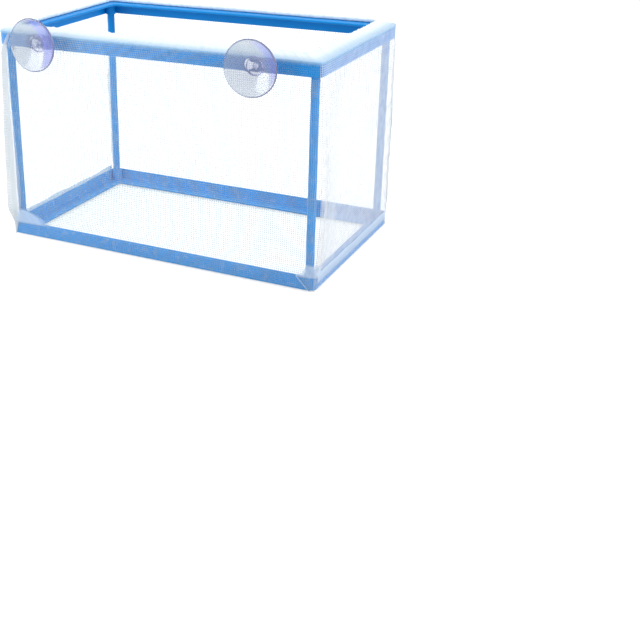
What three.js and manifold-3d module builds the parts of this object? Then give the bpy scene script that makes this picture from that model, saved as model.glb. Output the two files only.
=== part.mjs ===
// Fish breeding box: a net bag stretched over a frame of two moulded rings and four posts,
// with two suction cups in keyholes of the front rail.
// Millimetres, +Z up, front towards -Y. The origin is below the middle of the whole box, cups included.
import * as THREE from 'three';
import { mergeVertices } from 'three/addons/utils/BufferGeometryUtils.js';
import Module from 'manifold-3d';

const wasm = await Module();
wasm.setup();

// Gaps between neighbouring pieces, and how far a cutter runs past what it cuts
const fitGap = 0.3;
const overrun = 1;

// Frame, measured outside the rings
const frameLength = 258;
const frameDepth = 152;
const frameHeight = 161;
const frameCornerRadius = 5;

// Rings: an upright wall with a flat lip that reaches inwards
const ringHeight = 10.4;
const ringWall = 2;
const lipThickness = 2;
const topLipWidth = 15;
const bottomLipWidth = 13;
const lipCornerRadius = 3;
const ringEdgeRadius = 0.8;

// Posts, and the round sockets in the rings' corners that hold their ends
const postDiameter = 6;
const postBore = 4;
const socketWall = 0.9;
const socketMerge = 0.2;

// Net panels: flat nets outside the frame
const netThickness = 0.8;
const strandWidth = 1.5;
const lengthwiseGapCount = 10;
const depthwiseGapCount = 6;
const upwardGapCount = 6;

// Hem of the bag's mouth, folded over the top ring's lip, with an elastic cord in its fold
const frontHemWidth = 15.5;
const rearHemWidth = 7;
const leftHemWidth = 8;
const rightHemWidth = 14;
const hemCornerRadius = 3;
const hemThickness = 0.8;
const foldWall = 0.5;
const elasticDiameter = 1.4;

// Corner seams: fins of doubled net that stand out between the rings
const seamThickness = 0.9;
const seamStandOut = 4.2;
const seamTuckedIn = 1.2;

// Suction cups, turned about the neck's axis
const cupDiameter = 39;
const cupReach = 12;
const cupLipWidth = 0.9;
const cupRimThickness = 0.8;
const cupMiddleThickness = 2;
const bossDiameter = 12.4;
const bossLength = 3;
const neckDiameter = 4.2;
const headDiameter = 6.2;
const headLength = 2.8;
const headCrownShare = 0.55;
const headShoulderShare = 0.35;

// Keyholes of the front rail: each cup rests at the right end and slides left to the entry hole.
// The pair sits a little left of the rail's middle.
const keyholeSpacing = 174;
const keyholeOffset = -3;
const keyholeTravel = 6;
const keyholeDrop = 5.9;

// Facets
const cornerSteps = 5;
const edgeSteps = 2;
const roundSides = 20;
const foldSteps = 9;
const elasticSides = 8;
const cupSides = 28;
const bowlSteps = 4;
const seamSteps = 12;

// Heights, from the underside of the bag upwards
const frameBottom = netThickness + fitGap;
const frameTop = frameBottom + frameHeight;
const bottomLipTop = frameBottom + lipThickness;
const topLipUnderside = frameTop - lipThickness;
const hemBottom = frameTop + fitGap;
const keyholeHeight = frameTop - keyholeDrop;

// Distances from the middle of the frame
const halfLength = frameLength / 2;
const halfDepth = frameDepth / 2;
const netInset = fitGap + netThickness;
const postRadius = postDiameter / 2;
const socketBore = postRadius + fitGap;
const socketRadius = socketBore + socketWall;
const postInset = ringWall + socketRadius - socketMerge;
const neckRadius = neckDiameter / 2;
const headRadius = headDiameter / 2;
const seamRoot = fitGap * 2;
const seamReach = seamRoot + seamStandOut / Math.SQRT2 + seamThickness / 2 / Math.SQRT2;

// The cups reach further forward than the rear seams reach back, so the frame sits behind the origin
const frontReach = halfDepth + cupReach;
const rearReach = halfDepth + seamReach;
const frameShift = (frontReach - rearReach) / 2;

const materials = {
  frame: { color: 0x1c74d4, roughness: 0.35, metalness: 0 },
  net: { color: 0xf4f7fb, roughness: 0.8, metalness: 0 },
  seam: { color: 0xdfe3e8, roughness: 0.85, metalness: 0 },
  elastic: { color: 0xf7f7f5, roughness: 0.7, metalness: 0 },
  cup: { color: 0xc3c9f0, roughness: 0.1, metalness: 0 },
};

const fishBox = new THREE.Group();
fishBox.position.y = frameShift;

function addPiece(name, finish, geometry) {
  const mesh = new THREE.Mesh(geometry, new THREE.MeshStandardMaterial(materials[finish]));
  mesh.name = name;
  fishBox.add(mesh);
  return mesh;
}

// Booleans
function toSolid(geometry) {
  const bare = geometry.index ? geometry.toNonIndexed() : geometry.clone();
  bare.deleteAttribute('normal');
  bare.deleteAttribute('uv');
  const merged = mergeVertices(bare);
  return new wasm.Manifold(new wasm.Mesh({
    numProp: 3,
    vertProperties: new Float32Array(merged.attributes.position.array),
    triVerts: new Uint32Array(merged.index.array),
  }));
}

function toGeometry(solid) {
  const { vertProperties, triVerts } = solid.getMesh();
  const geometry = new THREE.BufferGeometry();
  geometry.setAttribute('position', new THREE.BufferAttribute(vertProperties, 3));
  geometry.setIndex(new THREE.BufferAttribute(triVerts, 1));
  return geometry;
}

function upright(geometry, x, y, z) {
  return geometry.rotateX(Math.PI / 2).translate(x, y, z);
}

function rod(radius, bottom, top, x, y) {
  const height = top - bottom;
  return upright(new THREE.CylinderGeometry(radius, radius, height, roundSides), x, y, bottom + height / 2);
}

// A rectangle with rounded corners, grown outwards by a distance, as points at one height
function roundedLoop({ left, right, front, rear, radius }, growth, height) {
  const grown = radius + growth;
  const corners = [
    { x: right - radius, y: rear - radius, start: 0 },
    { x: left + radius, y: rear - radius, start: Math.PI / 2 },
    { x: left + radius, y: front + radius, start: Math.PI },
    { x: right - radius, y: front + radius, start: Math.PI * 1.5 },
  ];
  return corners.flatMap(({ x, y, start }) => Array.from({ length: cornerSteps + 1 }, (_, step) => {
    const angle = start + (step / cornerSteps) * (Math.PI / 2);
    return [x + grown * Math.cos(angle), y + grown * Math.sin(angle), height];
  }));
}

// A closed ring through loops, listed anticlockwise round its section, seen with outwards to the right
function ringThrough(loops) {
  const around = loops[0].length;
  const index = [];
  loops.forEach((_, section) => {
    const next = (section + 1) % loops.length;
    for (let step = 0; step < around; step += 1) {
      const ahead = (step + 1) % around;
      const here = [section * around + step, section * around + ahead];
      const there = [next * around + step, next * around + ahead];
      index.push(here[0], here[1], there[1], here[0], there[1], there[0]);
    }
  });
  const geometry = new THREE.BufferGeometry();
  geometry.setAttribute('position', new THREE.Float32BufferAttribute(loops.flat(2), 3));
  geometry.setIndex(index);
  return geometry;
}

function rectangle(halfX, halfY, radius) {
  return { left: -halfX, right: halfX, front: -halfY, rear: halfY, radius };
}

// An edge rounded by a quarter circle, as [growth, height] points in the section plane
function roundedEdge(centreGrowth, centreHeight, radius, startAngle) {
  return Array.from({ length: edgeSteps + 1 }, (_, step) => {
    const angle = startAngle + (step / edgeSteps) * (Math.PI / 2);
    return [centreGrowth + radius * Math.cos(angle), centreHeight + radius * Math.sin(angle)];
  });
}

// Rings. The section is drawn for the top ring; the bottom ring is the same section upside down.
function ringGeometry(lipWidth, upsideDown) {
  const outside = rectangle(halfLength, halfDepth, frameCornerRadius);
  const mouth = rectangle(halfLength - lipWidth, halfDepth - lipWidth, lipCornerRadius);
  const heightOf = (drop) => (upsideDown ? frameBottom + drop : frameTop - drop);
  const lipEdge = lipThickness / 2;
  const section = [
    [outside, 0, ringHeight],
    ...roundedEdge(-ringEdgeRadius, -ringEdgeRadius, ringEdgeRadius, 0)
      .map(([growth, height]) => [outside, growth, -height]),
    ...roundedEdge(lipEdge, -lipEdge, lipEdge, Math.PI / 2)
      .map(([growth, height]) => [mouth, growth, -height]),
    [mouth, lipEdge, lipThickness],
    [outside, -ringWall, lipThickness],
    [outside, -ringWall, ringHeight],
  ];
  const loops = section.map(([box, growth, drop]) => roundedLoop(box, growth, heightOf(drop)));
  return ringThrough(upsideDown ? loops.reverse() : loops);
}

const postPlaces = [
  ['front_left_post', -1, -1],
  ['front_right_post', 1, -1],
  ['rear_left_post', -1, 1],
  ['rear_right_post', 1, 1],
].map(([name, sideX, sideY]) => ({
  name,
  x: sideX * (halfLength - postInset),
  y: sideY * (halfDepth - postInset),
}));

function withSockets(ring, bottom, top, boreBottom, boreTop) {
  return postPlaces.reduce((solid, { x, y }) => solid
    .add(toSolid(rod(socketRadius, bottom, top, x, y)))
    .subtract(toSolid(rod(socketBore, boreBottom, boreTop, x, y))), ring);
}

// The keyholes: places of the cups at rest, and a cutter for anything that a neck or head passes through
const cupPlaces = [
  { name: 'left_suction_cup', x: keyholeOffset - keyholeSpacing / 2 },
  { name: 'right_suction_cup', x: keyholeOffset + keyholeSpacing / 2 },
];

function keyholeCutter(x, clearance) {
  const slotRadius = neckRadius + clearance;
  const entryRadius = headRadius + clearance;
  const meeting = Math.asin(slotRadius / entryRadius);
  const outline = new THREE.Shape();
  outline.absarc(0, 0, slotRadius, -Math.PI / 2, Math.PI / 2, false);
  outline.absarc(-keyholeTravel, 0, entryRadius, meeting, Math.PI * 2 - meeting, false);
  const cutter = new THREE.ExtrudeGeometry(outline, {
    depth: ringWall + netInset + overrun * 2,
    bevelEnabled: false,
    curveSegments: roundSides / 2,
  });
  return toSolid(upright(cutter, x, -halfDepth + ringWall + overrun, keyholeHeight));
}

function buildRings() {
  const socketTop = topLipUnderside + lipThickness / 2;
  const topSockets = withSockets(toSolid(ringGeometry(topLipWidth, false)),
    frameTop - ringHeight, socketTop, frameTop - ringHeight - overrun, topLipUnderside);
  const topRing = cupPlaces.reduce((solid, { x }) => solid.subtract(keyholeCutter(x, fitGap)), topSockets);
  addPiece('top_frame', 'frame', toGeometry(topRing));

  const socketBottom = bottomLipTop - lipThickness / 2;
  const bottomRing = withSockets(toSolid(ringGeometry(bottomLipWidth, true)),
    socketBottom, frameBottom + ringHeight, bottomLipTop, frameBottom + ringHeight + overrun);
  addPiece('bottom_frame', 'frame', toGeometry(bottomRing));
}

// Posts: tubes that stand in the sockets, with the lips as their stops
function buildPosts() {
  const bottom = bottomLipTop + fitGap;
  const length = topLipUnderside - fitGap - bottom;
  const wall = [
    [postBore / 2, 0],
    [postRadius, 0],
    [postRadius, length],
    [postBore / 2, length],
    [postBore / 2, 0],
  ].map(([x, y]) => new THREE.Vector2(x, y));
  postPlaces.forEach(({ name, x, y }) => {
    addPiece(name, 'frame', upright(new THREE.LatheGeometry(wall, roundSides), x, y, bottom));
  });
}

// Both edges of each strand along one direction
function strandEdges(length, gaps) {
  const pitch = (length - strandWidth) / gaps;
  const starts = Array.from({ length: gaps + 1 }, (_, strand) => strand * pitch);
  return starts.flatMap((start) => [start, start + strandWidth]);
}

// A flat net in the XY plane, from the origin to its far corner, with a strand along each edge.
// The strands' edges divide it into cells, and a cell between strands both ways is a gap.
function netGeometry(width, height, columns, rows) {
  const edgesX = strandEdges(width, columns);
  const edgesY = strandEdges(height, rows);
  const layerSize = edgesX.length * edgesY.length;
  const corner = (i, j, layer) => layer * layerSize + j * edgesX.length + i;
  const isGap = (i, j) => i % 2 === 1 && j % 2 === 1;
  const isOutside = (i, j) => i < 0 || j < 0 || i > edgesX.length - 2 || j > edgesY.length - 2;
  const index = [];
  const quad = (a, b, c, d) => index.push(a, b, c, a, c, d);
  const wall = (i0, j0, i1, j1) => {
    quad(corner(i0, j0, 0), corner(i1, j1, 0), corner(i1, j1, 1), corner(i0, j0, 1));
  };
  for (let i = 0; i < edgesX.length - 1; i += 1) {
    for (let j = 0; j < edgesY.length - 1; j += 1) {
      if (!isGap(i, j)) {
        quad(corner(i, j, 1), corner(i + 1, j, 1), corner(i + 1, j + 1, 1), corner(i, j + 1, 1));
        quad(corner(i, j, 0), corner(i, j + 1, 0), corner(i + 1, j + 1, 0), corner(i + 1, j, 0));
        const sides = [[i, j - 1, i, j, i + 1, j], [i + 1, j, i + 1, j, i + 1, j + 1],
          [i, j + 1, i + 1, j + 1, i, j + 1], [i - 1, j, i, j + 1, i, j]];
        sides.filter(([nextI, nextJ]) => isOutside(nextI, nextJ) || isGap(nextI, nextJ))
          .forEach(([, , ...ends]) => wall(...ends));
      }
    }
  }
  const layers = [0, netThickness];
  const points = layers.flatMap((z) => edgesY.flatMap((y) => edgesX.map((x) => [x, y, z])));
  const geometry = new THREE.BufferGeometry();
  geometry.setAttribute('position', new THREE.Float32BufferAttribute(points.flat(), 3));
  geometry.setIndex(index);
  return geometry;
}

function buildNets() {
  const sideHeight = frameTop;
  const long = () => netGeometry(frameLength, sideHeight, lengthwiseGapCount, upwardGapCount);
  const short = () => netGeometry(frameDepth, sideHeight, depthwiseGapCount, upwardGapCount);

  const frontPanel = toSolid(upright(long(), -halfLength, -halfDepth - fitGap, 0));
  const pierced = cupPlaces.reduce((solid, { x }) => solid.subtract(keyholeCutter(x, fitGap)), frontPanel);
  addPiece('front_net', 'net', toGeometry(pierced));
  addPiece('rear_net', 'net', upright(long(), -halfLength, halfDepth + netInset, 0));

  const acrossDepth = (x) => upright(short(), 0, 0, 0).rotateZ(Math.PI / 2).translate(x, -halfDepth, 0);
  addPiece('left_net', 'net', acrossDepth(-halfLength - netInset));
  addPiece('right_net', 'net', acrossDepth(halfLength + fitGap));

  const base = netGeometry(frameLength, frameDepth, lengthwiseGapCount, depthwiseGapCount);
  addPiece('bottom_net', 'net', base.translate(-halfLength, -halfDepth, 0));
}

// Hem: a flat ring on the top lip whose inner edge curls back over the elastic cord
function buildHem() {
  const elasticRadius = elasticDiameter / 2;
  const foldInner = elasticRadius + fitGap;
  const foldOuter = foldInner + foldWall;
  const foldCentre = hemBottom + foldOuter;
  const outside = rectangle(halfLength + netInset, halfDepth + netInset, frameCornerRadius + netInset);
  const mouth = {
    left: -halfLength + leftHemWidth,
    right: halfLength - rightHemWidth,
    front: -halfDepth + frontHemWidth,
    rear: halfDepth - rearHemWidth,
    radius: hemCornerRadius,
  };
  // The fold turns from straight down, round the mouth side and over the top, and stops above the hem
  const foldEnd = Math.asin((hemThickness + fitGap - foldOuter) / foldInner);
  const foldTurn = Math.PI * 1.5 + foldEnd;
  const curl = (radius, share) => {
    const angle = -Math.PI / 2 - share * foldTurn;
    return [mouth, foldOuter + radius * Math.cos(angle), foldCentre + radius * Math.sin(angle)];
  };
  const shares = Array.from({ length: foldSteps + 1 }, (_, step) => step / foldSteps);
  const hemTop = hemBottom + hemThickness;
  const section = [
    [outside, 0, hemBottom],
    [outside, 0, hemTop],
    [mouth, foldOuter + foldInner, hemTop],
    ...shares.map((share) => curl(foldInner, share)),
    ...shares.map((share) => curl(foldOuter, share)).reverse(),
  ];
  const loops = section.map(([box, growth, height]) => roundedLoop(box, growth, height));
  addPiece('net_hem', 'net', ringThrough(loops));

  const elasticLoops = Array.from({ length: elasticSides }, (_, side) => {
    const angle = (side / elasticSides) * Math.PI * 2;
    const growth = foldOuter + elasticRadius * Math.cos(angle);
    return roundedLoop(mouth, growth, foldCentre + elasticRadius * Math.sin(angle));
  });
  addPiece('elastic_cord', 'elastic', ringThrough(elasticLoops));
}

// Seams: each fin stands out diagonally at a corner, most at mid height and least over the rings
function buildSeams() {
  const fin = new THREE.Shape();
  fin.moveTo(0, 0);
  for (let step = 0; step <= seamSteps; step += 1) {
    const share = step / seamSteps;
    const bulge = Math.sqrt(Math.sin(Math.PI * share));
    fin.lineTo(seamTuckedIn + (seamStandOut - seamTuckedIn) * bulge, frameTop * share);
  }
  fin.lineTo(0, frameTop).closePath();
  postPlaces.forEach(({ name, x, y }) => {
    const sideX = Math.sign(x);
    const sideY = Math.sign(y);
    const blade = new THREE.ExtrudeGeometry(fin, { depth: seamThickness, bevelEnabled: false });
    blade.translate(0, 0, -seamThickness / 2);
    upright(blade, 0, 0, 0).rotateZ(Math.atan2(sideY, sideX));
    blade.translate(sideX * (halfLength + seamRoot), sideY * (halfDepth + seamRoot), 0);
    addPiece(name.replace('post', 'seam'), 'seam', blade);
  });
}

// Cups: the profile runs from the head's crown, out along neck, boss and bowl to the lip, and back inside.
// Each point is a radius and a distance in front of the rail's outer face.
function cupProfile() {
  const headFront = -ringWall - fitGap;
  const headBack = headFront - headLength;
  const bossBack = netInset + fitGap;
  const bossRadius = bossDiameter / 2;
  const rimRadius = cupDiameter / 2;
  const lipInner = rimRadius - cupLipWidth;
  const bowlBack = bossBack + bossLength;
  const bowlFloor = bowlBack + cupMiddleThickness;
  const rimBack = cupReach - cupRimThickness;
  const outer = (radius) => bowlBack + (rimBack - bowlBack) * (radius / rimRadius) ** 2;
  const inner = (radius) => bowlFloor + (cupReach - bowlFloor) * (radius / lipInner) ** 2;
  const steps = Array.from({ length: bowlSteps + 1 }, (_, step) => step / bowlSteps);
  const outerRadii = steps.map((share) => bossRadius + (rimRadius - bossRadius) * share);
  const innerRadii = steps.map((share) => lipInner * (1 - share));
  return [
    [0, headBack],
    [headRadius * headCrownShare, headBack],
    [headRadius, headBack + headLength * headShoulderShare],
    [headRadius, headFront],
    [neckRadius, headFront],
    [neckRadius, bossBack],
    [bossRadius, bossBack],
    ...outerRadii.map((radius) => [radius, outer(radius)]),
    [rimRadius, cupReach],
    ...innerRadii.map((radius) => [radius, inner(radius)]),
  ].map(([radius, distance]) => new THREE.Vector2(radius, distance));
}

function buildCups() {
  cupPlaces.forEach(({ name, x }) => {
    const cup = new THREE.LatheGeometry(cupProfile(), cupSides).rotateX(Math.PI);
    const mesh = addPiece(name, 'cup', cup);
    mesh.position.set(x, -halfDepth, keyholeHeight);
  });
}

buildRings();
buildPosts();
buildNets();
buildHem();
buildSeams();
buildCups();

export default fishBox;
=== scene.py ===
import math

import bmesh
import bpy
import numpy as np
from mathutils import Matrix, Vector


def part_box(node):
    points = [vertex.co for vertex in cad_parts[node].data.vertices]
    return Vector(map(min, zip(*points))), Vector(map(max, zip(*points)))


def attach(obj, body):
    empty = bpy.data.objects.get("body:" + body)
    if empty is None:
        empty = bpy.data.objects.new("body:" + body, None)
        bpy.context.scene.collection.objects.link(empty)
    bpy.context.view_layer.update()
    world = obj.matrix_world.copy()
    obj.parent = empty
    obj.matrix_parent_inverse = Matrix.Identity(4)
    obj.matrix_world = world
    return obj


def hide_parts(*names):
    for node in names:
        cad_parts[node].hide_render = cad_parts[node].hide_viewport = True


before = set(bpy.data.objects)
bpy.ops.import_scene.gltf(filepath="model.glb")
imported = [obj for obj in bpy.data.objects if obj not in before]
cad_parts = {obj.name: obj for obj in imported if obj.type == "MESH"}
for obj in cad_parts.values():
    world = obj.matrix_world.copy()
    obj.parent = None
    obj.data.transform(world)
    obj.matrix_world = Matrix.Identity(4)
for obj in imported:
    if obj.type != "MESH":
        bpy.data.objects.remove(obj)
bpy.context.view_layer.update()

# Looks of a fish breeding box: a net bag over a blue frame, held by two clear suction cups.
# Metres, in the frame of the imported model: +X right, +Y to the rear, +Z up.

FRAME_BODY = "frame_and_bag"
MM = 0.001
MERGE_DISTANCE = 1e-7

# Camera, in front of the box and to its right, turned a little about its own axis
CAMERA_PLACE = (0.3796, -0.7069, 0.3113)
CAMERA_AZIMUTH = 28.10
CAMERA_ELEVATION = 21.54
CAMERA_ROLL = -0.505
CAMERA_LENS_MM = 60.37
CAMERA_SHIFT = (0.186, -0.123)

# Moulded rings: an upright wall with a lip that reaches inwards
RING_HEIGHT = 0.0104
RING_WALL = 0.0020
LIP_THICKNESS = 0.0020
TOP_LIP_WIDTH = 0.0150
BOTTOM_LIP_WIDTH = 0.0130
RING_CORNER_RADIUS = 0.0050
LIP_CORNER_RADIUS = 0.0030
RING_EDGE_RADIUS = 0.0008
WALL_FOOT_RADIUS = 0.0004
INNER_FILLET_RADIUS = 0.0007
FIT_GAP = 0.0003
OVERRUN = 0.0010

# Sockets for the posts, and keyholes for the cups
SOCKET_RADIUS = 0.0042
SOCKET_BORE_RADIUS = 0.0033
SOCKET_EDGE_RADIUS = 0.0003
KEYHOLE_TRAVEL = 0.0060
POST_BORE_RADIUS = 0.0020
POST_CHAMFER = 0.0003

# Netting: one set of threads lies a quarter of a thread inside the net's surface, and the other outside it.
# Slack makes low waves along the walls, and puckers that begin a little away from the seams. The lengths of
# waves are given for one radian.
MESH_PITCH = 0.0015
THREAD_WIDTH = 0.00028
THREAD_OFFSET = THREAD_WIDTH / 4
NET_STANDOFF = 0.00045
NET_BOTTOM = 0.0003
SLACK_REACH = 0.040
WAVE_DEPTH = 0.0005
WAVE_LENGTH = 0.031
WAVE_HEIGHT = 0.027
PUCKER_DEPTH = 0.0006
PUCKER_HEIGHTS = (0.0021, 0.0023)
PUCKER_REACH = 0.022
PUCKER_START = 0.003
BOTTOM_RISE = 0.00045
BOTTOM_SAG_REACH = 0.02

# Where a wall's threads are sampled: beside the seams, in millimetres, and on and beside the rings
NEAR_SEAM = (0, 1, 2, 3.2, 4.6, 6.4, 9, 13, 19, 27, 38)
ON_BOTTOM_RING = 0.004
ON_TOP_RING = 0.157
RING_MARGIN = 0.003
WALK_CORNER_STEPS = 24
SLOPE_STEP = 1e-4

# Covers of the nets: places, and the share of cover at each. The places are heights, shares of the front
# rail's length, or distances from the bottom's outline.
WALL_COVER = ((0.0008, 0.002), (0.2, 1.0))
RIGHT_COVER = ((0.0008, 0.002, 0.005, 0.007), (0.2, 0.7, 0.7, 1.15))
# The front rail's cover paints light and shade along it: a dense veil makes the rail lighter at its left, and
# a thin one leaves its right end darker.
FRONT_RAIL_COVER = ((0.22, 0.38, 0.67, 0.9, 1), (2.3, 1.4, 1.0, 0.42, 0.2))
BOTTOM_COVER = ((0.0004, 0.0025, 0.013, 0.020), (0.25, 1.0, 1.0, 0.45))
RAIL_FADE = 0.002

# Hem of the bag's mouth, and the elastic in its fold. Each part of the cloth stands off what it lies on, and
# the gathers lift and shift it by its own amount.
ELASTIC_RADIUS = 0.0007
FOLD_RADIUS = 0.0012
FOLD_CORNER_RADIUS = 0.0045
GATHER_LENGTH = 0.0052
SKIRT_DROP = 0.0033
SKIRT_TOP = 0.0009
SKIRT_STANDOFF = 0.0003
SKIRT_LIFT = 0.0002
LIP_STANDOFF = 0.0004
LIP_LIFT = 0.0007
OUTER_EDGE_DIP = 0.0003
OVER_LIP_WIDTH = 0.0155
FOLD_SHIFT = 0.0004
FOLD_LIFT = 0.0005
CORD_LIFT = 0.0002
RETURN_SHARE = 0.42
RETURN_STANDOFF = 0.0002
RETURN_LIFT = 0.0001

# Suction cups
NECK_RADIUS = 0.0021
NECK_ROUND = 0.0002
HEAD_RADIUS = 0.0031
HEAD_ROUND_DEPTH = 0.0011
HEAD_EDGE = 0.0003
BOSS_RADIUS = 0.0062
BOSS_ROUND = 0.0005
BOSS_GAP = 0.0014
BOSS_LENGTH = 0.0030
BOWL_INSET = 0.0003
FLOOR_THICKNESS = 0.0020
RIM_WIDTH = 0.0009
RIM_THICKNESS = 0.0008
RIM_ROUND = 0.0004

# Patterns of the materials, in metres, but for the plastic's drift in roughness and the nets' covers
PIGMENT_SIZE = 0.030
GRAIN_RELIEF = 0.00002
GLOSS_DRIFT = 0.06
HAZE_SIZE = 0.006
LAYER_SHIFT = MESH_PITCH * 0.4
DRAWN_THREAD_EDGE = MESH_PITCH * 0.16
DRAWN_THREAD_CORE = MESH_PITCH * 0.07
WEAVE_RELIEF = 0.0002
THIN_COVER = 0.55
FULL_COVER = 0.95
YARN_TWIST = 0.0004
YARN_RELIEF = 0.00005

# Lamps by name: place, what they face, width, and power in watts
LAMPS = (
    ("top_light", (0.1, -0.1, 1.4), (0, 0, 0.08), 1.4, 6.6),
    ("right_light", (1.3, -0.2, 0.5), (0, 0, 0.08), 1.0, 12.0),
    ("front_left_light", (-0.40, -0.42, 0.26), (-0.12, 0, 0.08), 0.35, 1.8),
    ("rear_light", (-0.4, 0.9, 1.2), (0, 0, 0.12), 1.0, 4.5),
)

# The world lights the box at its level and is white where it is seen. The floor lies just under the box. Its
# grey keeps the shadow, and a glow that shows only where the floor is seen makes it white.
WORLD_LIGHT = 0.60
FLOOR_GREY = 0.54
FLOOR_GLOW = 0.74
FLOOR_HALF = 4.0
FLOOR_DROP = 0.0002

# Corners of the box in the order in which a path goes round it, seen from above
CORNER_ORDER = ("rear_right", "rear_left", "front_left", "front_right")


def corners_of(node):
    """The lowest and highest corner of a CAD node, as arrays."""
    low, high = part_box(node)
    return np.array(low), np.array(high)


top_low, top_high = corners_of("top_frame")
bottom_low, bottom_high = corners_of("bottom_frame")
elastic_low, elastic_high = corners_of("elastic_cord")


# Meshes

def grid_faces(rows, columns, closed_rows=False, closed_columns=False):
    """Quads of a grid of points numbered row by row; a closed way joins its last points to its first."""
    i, j = np.meshgrid(
        np.arange(rows if closed_rows else rows - 1),
        np.arange(columns if closed_columns else columns - 1),
        indexing="ij",
    )
    i_next, j_next = (i + 1) % rows, (j + 1) % columns
    quads = [i * columns + j, i_next * columns + j, i_next * columns + j_next, i * columns + j_next]
    return np.stack(quads, -1).reshape(-1, 4)


def add_piece(name, points, faces, sharp_degrees=35, uv=None, cover=None):
    """A mesh object with merged doubles and faces that point out, smooth but for its sharper edges.
    uv holds a pair for each corner of each face, and cover a share for each point."""
    mesh = bpy.data.meshes.new(name)
    mesh.from_pydata(np.asarray(points, float).reshape(-1, 3).tolist(), [], np.asarray(faces).tolist())
    if uv is not None:
        mesh.uv_layers.new(name="cloth").data.foreach_set("uv", np.asarray(uv, np.float32).ravel())
    if cover is not None:
        shares = mesh.attributes.new("cover", "FLOAT", "POINT")
        shares.data.foreach_set("value", np.asarray(cover, np.float32).ravel())
    tidy_mesh(mesh, sharp_degrees)
    made = bpy.data.objects.new(name, mesh)
    bpy.context.scene.collection.objects.link(made)
    return made


def tidy_mesh(mesh, sharp_degrees=35):
    """Merges points that coincide, turns the faces outwards and marks edges sharper than the angle."""
    work = bmesh.new()
    work.from_mesh(mesh)
    bmesh.ops.remove_doubles(work, verts=work.verts, dist=MERGE_DISTANCE)
    bmesh.ops.recalc_face_normals(work, faces=work.faces)
    work.to_mesh(mesh)
    work.free()
    mesh.polygons.foreach_set("use_smooth", np.ones(len(mesh.polygons), bool))
    mesh.set_sharp_from_angle(angle=math.radians(sharp_degrees))


def dress(made, material, body=FRAME_BODY, replaces=()):
    """Gives a piece its material and the body that it rides on, and hides the CAD parts that it replaces."""
    made.data.materials.clear()
    made.data.materials.append(material)
    if replaces:
        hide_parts(*replaces)
    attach(made, body)


def combine(made, tool, operation):
    """Joins a closed mesh to a piece, or cuts it out of the piece, and removes it."""
    modifier = made.modifiers.new("combine", "BOOLEAN")
    modifier.operation = operation
    modifier.solver = "EXACT"
    modifier.object = tool
    graph = bpy.context.evaluated_depsgraph_get()
    result = bpy.data.meshes.new_from_object(made.evaluated_get(graph))
    made.modifiers.clear()
    made.data = result
    bpy.data.objects.remove(tool)


def grid_uv(along, across, closed_columns=False):
    """The UV pairs of grid_faces' corners: across gives each row's V, and along each column's U.
    Where the columns are closed, along has one more value, which is the start's value after a full turn."""
    rows, columns = len(across), len(along) - (1 if closed_columns else 0)
    last_column = columns if closed_columns else columns - 1
    i, j = np.meshgrid(np.arange(rows - 1), np.arange(last_column), indexing="ij")
    along, across = np.asarray(along, float), np.asarray(across, float)
    order = [(i, j), (i + 1, j), (i + 1, j + 1), (i, j + 1)]
    return np.stack([np.stack([along[b], across[a]], -1) for a, b in order], -2).reshape(-1, 2)


def arc(centre, radius, start, end, steps):
    """Points of a circle's arc about a centre in the section plane, from one angle to another in degrees."""
    angles = np.radians(np.linspace(start, end, steps + 1))
    return np.stack([centre[0] + radius * np.cos(angles), centre[1] + radius * np.sin(angles)], -1)


def rectangle_path(low, high, radius, corner_steps, side_counts=(1, 1, 1, 1)):
    """A way round a rectangle with round corners, as the arc centre and outward direction of each point.
    A point stands off its centre by the radius. The counts divide the rear, left, front and right sides."""
    near = np.array(low[:2]) + radius
    far = np.array(high[:2]) - radius
    centres = np.array([far, (near[0], far[1]), near, (far[0], near[1])])
    base, outward = [], []
    for index, (centre, count) in enumerate(zip(centres, side_counts)):
        angles = index * math.pi / 2 + np.linspace(0, math.pi / 2, corner_steps + 1)
        turning = np.stack([np.cos(angles), np.sin(angles)], -1)
        share = np.linspace(0, 1, count + 1)[1:-1, None]
        side = centres[(index + 1) % 4] - centre
        base += [np.repeat(centre[None], len(angles), 0), centre + side * share]
        outward += [turning, np.repeat(turning[-1:], len(share), 0)]
    return np.concatenate(base), np.concatenate(outward)


def round_trip(points):
    """A closed way's points with the first once more at the end, and each one's distance along the way."""
    closed = np.concatenate([points, points[:1]])
    steps = np.linalg.norm(np.diff(closed, axis=0), axis=1)
    return closed, np.concatenate([[0], np.cumsum(steps)])


def turned(name, profile, centre, axis, sides, closed=False):
    """A surface of revolution: each (radius, distance) of the profile becomes a circle about the axis.
    The distance runs up for axis Z and forwards for axis Y. A closed profile makes a ring or tube."""
    profile = np.asarray(profile, float)
    angles = np.linspace(0, 2 * math.pi, sides, endpoint=False)
    across = profile[:, :1] * np.cos(angles)
    along = profile[:, :1] * np.sin(angles)
    distance = np.repeat(profile[:, 1:], sides, 1)
    layers = [across, along, distance] if axis == "Z" else [across, -distance, along]
    points = np.stack(layers, -1) + np.asarray(centre, float)
    return add_piece(name, points, grid_faces(len(profile), sides, closed, True))


# Materials

def linear(colour):
    """An sRGB hex colour as linear red, green, blue and alpha."""
    channels = np.array([int(colour[place:place + 2], 16) for place in (1, 3, 5)]) / 255
    light = np.where(channels <= 0.04045, channels / 12.92, ((channels + 0.055) / 1.055) ** 2.4)
    return (*light.tolist(), 1.0)


def add_node(tree, kind, inputs=None, **settings):
    """Adds a node with its settings; each input takes a value, or a link from the output given for it."""
    node = tree.nodes.new(kind)
    for name, value in settings.items():
        setattr(node, name, value)
    for name, value in (inputs or {}).items():
        if isinstance(value, bpy.types.NodeSocket):
            tree.links.new(value, node.inputs[name])
        else:
            node.inputs[name].default_value = value
    return node


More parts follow.
